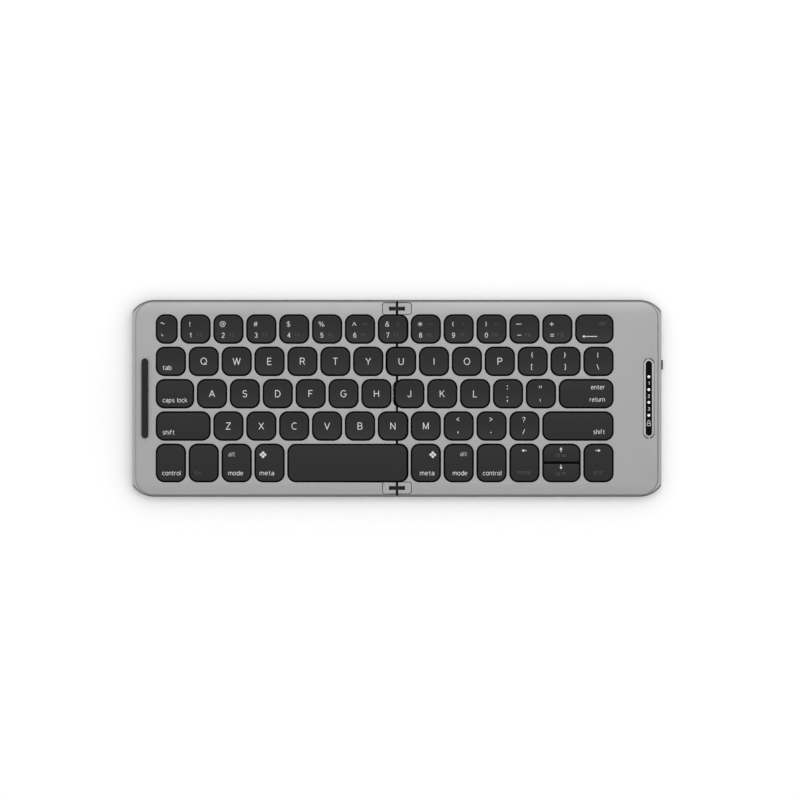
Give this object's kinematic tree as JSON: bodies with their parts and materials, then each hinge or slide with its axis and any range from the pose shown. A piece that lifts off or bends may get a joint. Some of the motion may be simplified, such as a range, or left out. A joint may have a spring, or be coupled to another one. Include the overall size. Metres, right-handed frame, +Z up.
{
  "type": "folding keyboard",
  "caption": "Slim pocket keyboard in two metal halves that fold face to face on a pair of flush geared hinges, with low keys, a slide switch and a window for status lamps.",
  "frame": {"origin": "on the table, under the middle of the fold line, with the keyboard open flat", "axes": "+X to the typist's right, +Y to the rear edge, +Z up"},
  "size_m": [0.3063, 0.1138, 0.0102],
  "materials": {
    "case": "bead-blasted, clear anodised",
    "deck": "bead-blasted, clear anodised",
    "bracket": "satin",
    "keycap": "fine matt",
    "steel": "plain",
    "link": "blackened",
    "gear": "plain",
    "film": "film",
    "lift": "natural",
    "dome": "translucent grey",
    "rubber": "matt",
    "magnet": "plated",
    "battery": "foil pouch",
    "board": "solder resist",
    "socket": "plain",
    "window": "smoked, gloss",
    "switch": "fine matt",
    "ribbon": "film"
  },
  "bodies": {
    "right_half": {"right_bottom_cover": "case", "right_deck": "deck", "right_key_plate": "steel", "right_membrane": "film", "right_scissors": "lift", "right_domes": "dome", "right_stabilisers": "steel", "right_hinge_brackets": "bracket", "right_geared_pins": "gear", "right_feet": "rubber", "right_screws": "steel", "right_magnets": "magnet", "battery": "battery", "main_board": "board", "charging_socket": "socket", "indicator_window": "window", "ribbon_cable": "ribbon"},
    "hinge_link": {"hinge_links": "link"},
    "left_half": {"left_bottom_cover": "case", "left_deck": "deck", "left_key_plate": "steel", "left_membrane": "film", "left_scissors": "lift", "left_domes": "dome", "left_stabilisers": "steel", "left_hinge_brackets": "bracket", "left_geared_pins": "gear", "left_feet": "rubber", "left_screws": "steel", "left_magnets": "magnet", "bumper_strip": "rubber"},
    "right_idlers": {"right_idler_gears": "gear"},
    "left_idlers": {"left_idler_gears": "gear"},
    "switch_knob": {"power_switch": "switch"},
    "number_keys_left": {"number_keys_left": "keycap"},
    "tab_key": {"tab_key": "keycap"},
    "top_letter_keys_left": {"top_letter_keys_left": "keycap"},
    "caps_lock_key": {"caps_lock_key": "keycap"},
    "home_row_keys_left": {"home_row_keys_left": "keycap"},
    "left_shift_key": {"left_shift_key": "keycap"},
    "lower_letter_keys_left": {"lower_letter_keys_left": "keycap"},
    "left_ctrl_key": {"left_ctrl_key": "keycap"},
    "fn_key": {"fn_key": "keycap"},
    "left_alt_key": {"left_alt_key": "keycap"},
    "left_meta_key": {"left_meta_key": "keycap"},
    "space_bar": {"space_bar": "keycap"},
    "number_keys_right": {"number_keys_right": "keycap"},
    "backspace_key": {"backspace_key": "keycap"},
    "top_letter_keys_right": {"top_letter_keys_right": "keycap"},
    "home_row_keys_right": {"home_row_keys_right": "keycap"},
    "enter_key": {"enter_key": "keycap"},
    "lower_letter_keys_right": {"lower_letter_keys_right": "keycap"},
    "right_shift_key": {"right_shift_key": "keycap"},
    "right_meta_key": {"right_meta_key": "keycap"},
    "right_alt_key": {"right_alt_key": "keycap"},
    "right_ctrl_key": {"right_ctrl_key": "keycap"},
    "arrow_left_key": {"arrow_left_key": "keycap"},
    "arrow_up_key": {"arrow_up_key": "keycap"},
    "arrow_down_key": {"arrow_down_key": "keycap"},
    "arrow_right_key": {"arrow_right_key": "keycap"}
  },
  "joints": [
    {"name": "link_turn", "type": "hinge", "parent": "right_half", "child": "hinge_link", "pos_m": [0.0031, 0, 0.0052], "axis": [0, 1, 0], "range_deg": [0, 90]},
    {"name": "left_fold", "type": "hinge", "parent": "hinge_link", "child": "left_half", "pos_m": [-0.0031, 0, 0.0052], "axis": [0, 1, 0], "range_deg": [0, 90], "deforming": ["ribbon_cable"]},
    {"name": "right_idler_turn", "type": "hinge", "parent": "hinge_link", "child": "right_idlers", "pos_m": [0.00103, 0, 0.0052], "axis": [0, 1, 0], "range_deg": [0, 90]},
    {"name": "left_idler_turn", "type": "hinge", "parent": "hinge_link", "child": "left_idlers", "pos_m": [-0.00103, 0, 0.0052], "axis": [0, 1, 0], "range_deg": [-90, 0]},
    {"name": "power_slide", "type": "slide", "parent": "right_half", "child": "switch_knob", "axis": [0, -1, 0], "range_m": [0, 0.002]},
    {"name": "number_left_press", "type": "slide", "parent": "left_half", "child": "number_keys_left", "axis": [0, 0, -1], "range_m": [0, 0.0012], "stiffness_N_per_m": 200, "springref_m": -0.002, "deforming": ["left_scissors", "left_domes", "left_stabilisers"]},
    {"name": "tab_press", "type": "slide", "parent": "left_half", "child": "tab_key", "axis": [0, 0, -1], "range_m": [0, 0.0012], "stiffness_N_per_m": 200, "springref_m": -0.002, "deforming": ["left_scissors", "left_domes", "left_stabilisers"]},
    {"name": "top_letter_left_press", "type": "slide", "parent": "left_half", "child": "top_letter_keys_left", "axis": [0, 0, -1], "range_m": [0, 0.0012], "stiffness_N_per_m": 200, "springref_m": -0.002, "deforming": ["left_scissors", "left_domes", "left_stabilisers"]},
    {"name": "caps_lock_press", "type": "slide", "parent": "left_half", "child": "caps_lock_key", "axis": [0, 0, -1], "range_m": [0, 0.0012], "stiffness_N_per_m": 200, "springref_m": -0.002, "deforming": ["left_scissors", "left_domes", "left_stabilisers"]},
    {"name": "home_row_left_press", "type": "slide", "parent": "left_half", "child": "home_row_keys_left", "axis": [0, 0, -1], "range_m": [0, 0.0012], "stiffness_N_per_m": 200, "springref_m": -0.002, "deforming": ["left_scissors", "left_domes", "left_stabilisers"]},
    {"name": "left_shift_press", "type": "slide", "parent": "left_half", "child": "left_shift_key", "axis": [0, 0, -1], "range_m": [0, 0.0012], "stiffness_N_per_m": 200, "springref_m": -0.002, "deforming": ["left_scissors", "left_domes", "left_stabilisers"]},
    {"name": "lower_letter_left_press", "type": "slide", "parent": "left_half", "child": "lower_letter_keys_left", "axis": [0, 0, -1], "range_m": [0, 0.0012], "stiffness_N_per_m": 200, "springref_m": -0.002, "deforming": ["left_scissors", "left_domes", "left_stabilisers"]},
    {"name": "left_ctrl_press", "type": "slide", "parent": "left_half", "child": "left_ctrl_key", "axis": [0, 0, -1], "range_m": [0, 0.0012], "stiffness_N_per_m": 200, "springref_m": -0.002, "deforming": ["left_scissors", "left_domes", "left_stabilisers"]},
    {"name": "fn_press", "type": "slide", "parent": "left_half", "child": "fn_key", "axis": [0, 0, -1], "range_m": [0, 0.0012], "stiffness_N_per_m": 200, "springref_m": -0.002, "deforming": ["left_scissors", "left_domes", "left_stabilisers"]},
    {"name": "left_alt_press", "type": "slide", "parent": "left_half", "child": "left_alt_key", "axis": [0, 0, -1], "range_m": [0, 0.0012], "stiffness_N_per_m": 200, "springref_m": -0.002, "deforming": ["left_scissors", "left_domes", "left_stabilisers"]},
    {"name": "left_meta_press", "type": "slide", "parent": "left_half", "child": "left_meta_key", "axis": [0, 0, -1], "range_m": [0, 0.0012], "stiffness_N_per_m": 200, "springref_m": -0.002, "deforming": ["left_scissors", "left_domes", "left_stabilisers"]},
    {"name": "space_press", "type": "slide", "parent": "left_half", "child": "space_bar", "axis": [0, 0, -1], "range_m": [0, 0.0012], "stiffness_N_per_m": 200, "springref_m": -0.002, "deforming": ["left_scissors", "left_domes", "left_stabilisers"]},
    {"name": "number_right_press", "type": "slide", "parent": "right_half", "child": "number_keys_right", "axis": [0, 0, -1], "range_m": [0, 0.0012], "stiffness_N_per_m": 200, "springref_m": -0.002, "deforming": ["right_scissors", "right_domes", "right_stabilisers"]},
    {"name": "backspace_press", "type": "slide", "parent": "right_half", "child": "backspace_key", "axis": [0, 0, -1], "range_m": [0, 0.0012], "stiffness_N_per_m": 200, "springref_m": -0.002, "deforming": ["right_scissors", "right_domes", "right_stabilisers"]},
    {"name": "top_letter_right_press", "type": "slide", "parent": "right_half", "child": "top_letter_keys_right", "axis": [0, 0, -1], "range_m": [0, 0.0012], "stiffness_N_per_m": 200, "springref_m": -0.002, "deforming": ["right_scissors", "right_domes", "right_stabilisers"]},
    {"name": "home_row_right_press", "type": "slide", "parent": "right_half", "child": "home_row_keys_right", "axis": [0, 0, -1], "range_m": [0, 0.0012], "stiffness_N_per_m": 200, "springref_m": -0.002, "deforming": ["right_scissors", "right_domes", "right_stabilisers"]},
    {"name": "enter_press", "type": "slide", "parent": "right_half", "child": "enter_key", "axis": [0, 0, -1], "range_m": [0, 0.0012], "stiffness_N_per_m": 200, "springref_m": -0.002, "deforming": ["right_scissors", "right_domes", "right_stabilisers"]},
    {"name": "lower_letter_right_press", "type": "slide", "parent": "right_half", "child": "lower_letter_keys_right", "axis": [0, 0, -1], "range_m": [0, 0.0012], "stiffness_N_per_m": 200, "springref_m": -0.002, "deforming": ["right_scissors", "right_domes", "right_stabilisers"]},
    {"name": "right_shift_press", "type": "slide", "parent": "right_half", "child": "right_shift_key", "axis": [0, 0, -1], "range_m": [0, 0.0012], "stiffness_N_per_m": 200, "springref_m": -0.002, "deforming": ["right_scissors", "right_domes", "right_stabilisers"]},
    {"name": "right_meta_press", "type": "slide", "parent": "right_half", "child": "right_meta_key", "axis": [0, 0, -1], "range_m": [0, 0.0012], "stiffness_N_per_m": 200, "springref_m": -0.002, "deforming": ["right_scissors", "right_domes", "right_stabilisers"]},
    {"name": "right_alt_press", "type": "slide", "parent": "right_half", "child": "right_alt_key", "axis": [0, 0, -1], "range_m": [0, 0.0012], "stiffness_N_per_m": 200, "springref_m": -0.002, "deforming": ["right_scissors", "right_domes", "right_stabilisers"]},
    {"name": "right_ctrl_press", "type": "slide", "parent": "right_half", "child": "right_ctrl_key", "axis": [0, 0, -1], "range_m": [0, 0.0012], "stiffness_N_per_m": 200, "springref_m": -0.002, "deforming": ["right_scissors", "right_domes", "right_stabilisers"]},
    {"name": "arrow_left_press", "type": "slide", "parent": "right_half", "child": "arrow_left_key", "axis": [0, 0, -1], "range_m": [0, 0.0012], "stiffness_N_per_m": 200, "springref_m": -0.002, "deforming": ["right_scissors", "right_domes", "right_stabilisers"]},
    {"name": "arrow_up_press", "type": "slide", "parent": "right_half", "child": "arrow_up_key", "axis": [0, 0, -1], "range_m": [0, 0.0012], "stiffness_N_per_m": 200, "springref_m": -0.002, "deforming": ["right_scissors", "right_domes", "right_stabilisers"]},
    {"name": "arrow_down_press", "type": "slide", "parent": "right_half", "child": "arrow_down_key", "axis": [0, 0, -1], "range_m": [0, 0.0012], "stiffness_N_per_m": 200, "springref_m": -0.002, "deforming": ["right_scissors", "right_domes", "right_stabilisers"]},
    {"name": "arrow_right_press", "type": "slide", "parent": "right_half", "child": "arrow_right_key", "axis": [0, 0, -1], "range_m": [0, 0.0012], "stiffness_N_per_m": 200, "springref_m": -0.002, "deforming": ["right_scissors", "right_domes", "right_stabilisers"]}
  ],
  "couplings": [
    {"joint": "link_turn", "follows": "left_fold", "ratio": 1},
    {"joint": "right_idler_turn", "follows": "left_fold", "ratio": 1},
    {"joint": "left_idler_turn", "follows": "left_fold", "ratio": -1}
  ]
}
